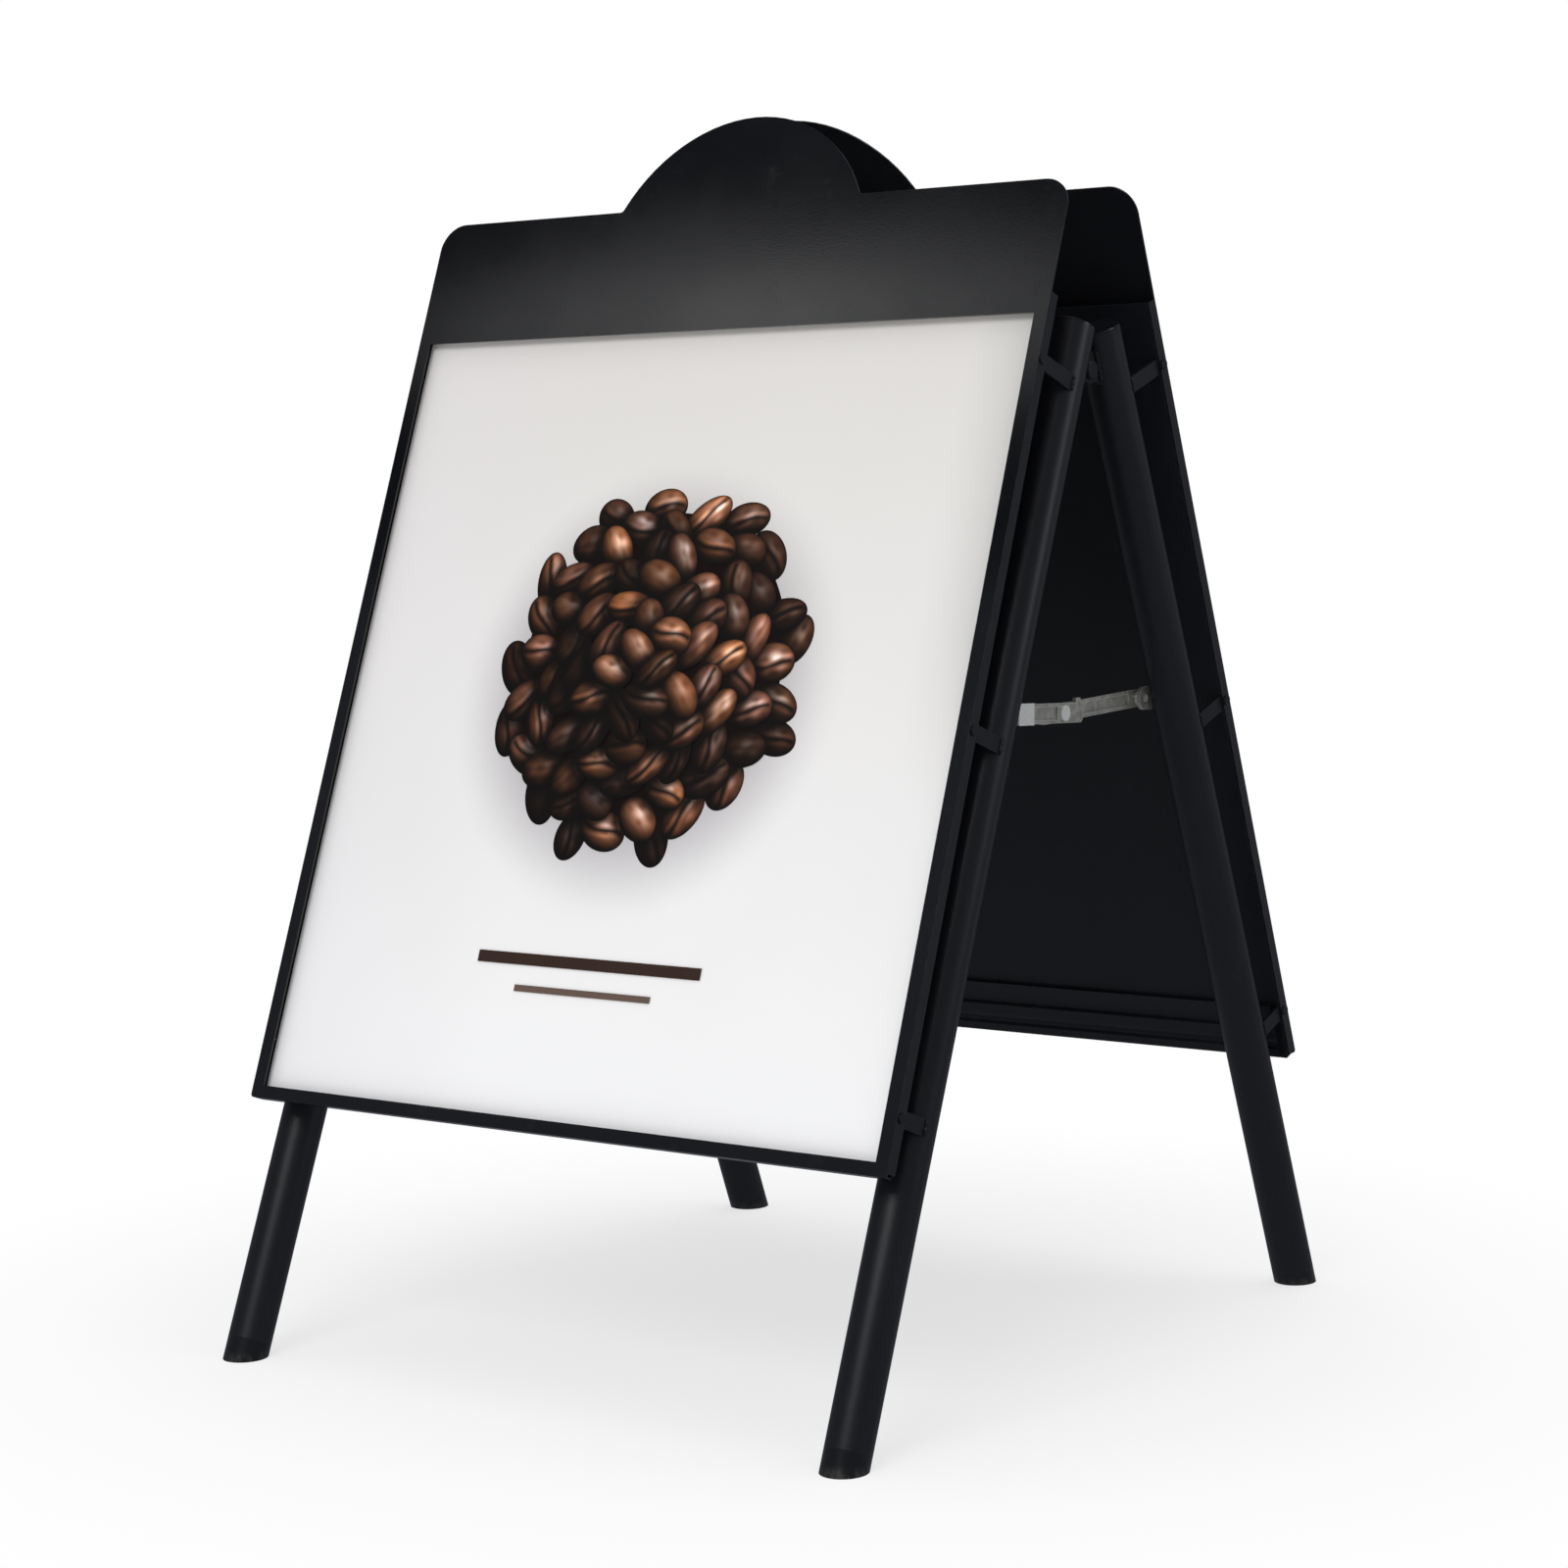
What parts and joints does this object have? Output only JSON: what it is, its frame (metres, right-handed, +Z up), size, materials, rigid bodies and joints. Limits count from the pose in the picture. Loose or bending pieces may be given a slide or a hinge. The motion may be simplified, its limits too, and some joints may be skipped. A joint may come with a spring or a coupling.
{
  "type": "sandwich board",
  "caption": "Folding two-sided pavement sign: tube-legged frames hinged at the top, domed metal trays holding slide-in display sheets, and folding side stays.",
  "frame": {"origin": "on the ground, midway between the four feet, in the board's middle plane", "axes": "+Z up, -Y out of the front face, +X to the right as seen from the front; the fold axis is parallel to X"},
  "size_m": [0.6024, 0.6916, 0.9509],
  "materials": {
    "leg_paint": "satin black powder coat",
    "panel_paint": "satin black powder coat",
    "inner_paint": "thin satin black coat on the tray's inner side",
    "hardware_paint": "satin black powder coat",
    "foot_plastic": "glossy black moulded plastic",
    "galvanised": "dull galvanised steel",
    "bright_steel": "bright zinc-plated steel",
    "printed_sheet": "matt white printed sheet"
  },
  "bodies": {
    "front_frame": {"front_leg_right": "leg_paint", "front_leg_left": "leg_paint", "front_foot_right": "foot_plastic", "front_foot_left": "foot_plastic", "front_cap_right": "foot_plastic", "front_cap_left": "foot_plastic", "front_bezel": "panel_paint", "front_back_plate": "inner_paint", "front_bottom_rail": "inner_paint", "front_straps_right": "hardware_paint", "front_straps_left": "hardware_paint", "front_rivets": "hardware_paint", "front_lug_right": "hardware_paint", "front_lug_left": "hardware_paint", "hinge_bolt_right": "hardware_paint", "hinge_bolt_left": "hardware_paint", "hinge_nut_right": "hardware_paint", "hinge_nut_left": "hardware_paint", "front_bracket_right": "galvanised", "front_bracket_left": "galvanised", "front_stud_right": "bright_steel", "front_stud_left": "bright_steel"},
    "rear_frame": {"rear_leg_right": "leg_paint", "rear_leg_left": "leg_paint", "rear_foot_right": "foot_plastic", "rear_foot_left": "foot_plastic", "rear_cap_right": "foot_plastic", "rear_cap_left": "foot_plastic", "rear_bezel": "panel_paint", "rear_back_plate": "inner_paint", "rear_bottom_rail": "inner_paint", "rear_straps_right": "hardware_paint", "rear_straps_left": "hardware_paint", "rear_rivets": "hardware_paint", "rear_lug_right": "hardware_paint", "rear_lug_left": "hardware_paint", "rear_bracket_right": "galvanised", "rear_bracket_left": "galvanised", "rear_stud_right": "bright_steel", "rear_stud_left": "bright_steel"},
    "front_bar_right_body": {"front_bar_right": "galvanised", "knuckle_rivet_right": "bright_steel", "stay_clip_right": "bright_steel"},
    "front_bar_left_body": {"front_bar_left": "galvanised", "knuckle_rivet_left": "bright_steel", "stay_clip_left": "bright_steel"},
    "rear_bar_right_body": {"rear_bar_right": "galvanised", "knuckle_tail_right": "bright_steel"},
    "rear_bar_left_body": {"rear_bar_left": "galvanised", "knuckle_tail_left": "bright_steel"},
    "front_sheet": {"front_insert": "printed_sheet"},
    "rear_sheet": {"rear_insert": "printed_sheet"}
  },
  "joints": [
    {"name": "main_fold", "type": "hinge", "parent": "front_frame", "child": "rear_frame", "pos_m": [0, 0, 0.7467], "axis": [-1, 0, 0], "range_deg": [0, 43.4]},
    {"name": "front_bar_right_swing", "type": "hinge", "parent": "front_frame", "child": "front_bar_right_body", "pos_m": [0.2612, -0.115, 0.498], "axis": [1, 0, 0], "range_deg": [0, 63.2]},
    {"name": "rear_bar_right_swing", "type": "hinge", "parent": "rear_frame", "child": "rear_bar_right_body", "pos_m": [0.2577, 0.115, 0.498], "axis": [-1, 0, 0], "range_deg": [0, 63.2]},
    {"name": "front_bar_left_swing", "type": "hinge", "parent": "front_frame", "child": "front_bar_left_body", "pos_m": [-0.2612, -0.115, 0.498], "axis": [1, 0, 0], "range_deg": [0, 63.2]},
    {"name": "rear_bar_left_swing", "type": "hinge", "parent": "rear_frame", "child": "rear_bar_left_body", "pos_m": [-0.2577, 0.115, 0.498], "axis": [-1, 0, 0], "range_deg": [0, 63.2]},
    {"name": "front_sheet_slide", "type": "slide", "parent": "front_frame", "child": "front_sheet", "axis": [0, 0.3469, 0.9379], "range_m": [0, 0.19]},
    {"name": "rear_sheet_slide", "type": "slide", "parent": "rear_frame", "child": "rear_sheet", "axis": [0, -0.3469, 0.9379], "range_m": [0, 0.19]}
  ],
  "couplings": [
    {"joint": "front_bar_right_swing", "follows": "main_fold", "ratio": 1.454},
    {"joint": "front_bar_left_swing", "follows": "main_fold", "ratio": 1.454},
    {"joint": "rear_bar_right_swing", "follows": "main_fold", "ratio": 1.454},
    {"joint": "rear_bar_left_swing", "follows": "main_fold", "ratio": 1.454}
  ]
}
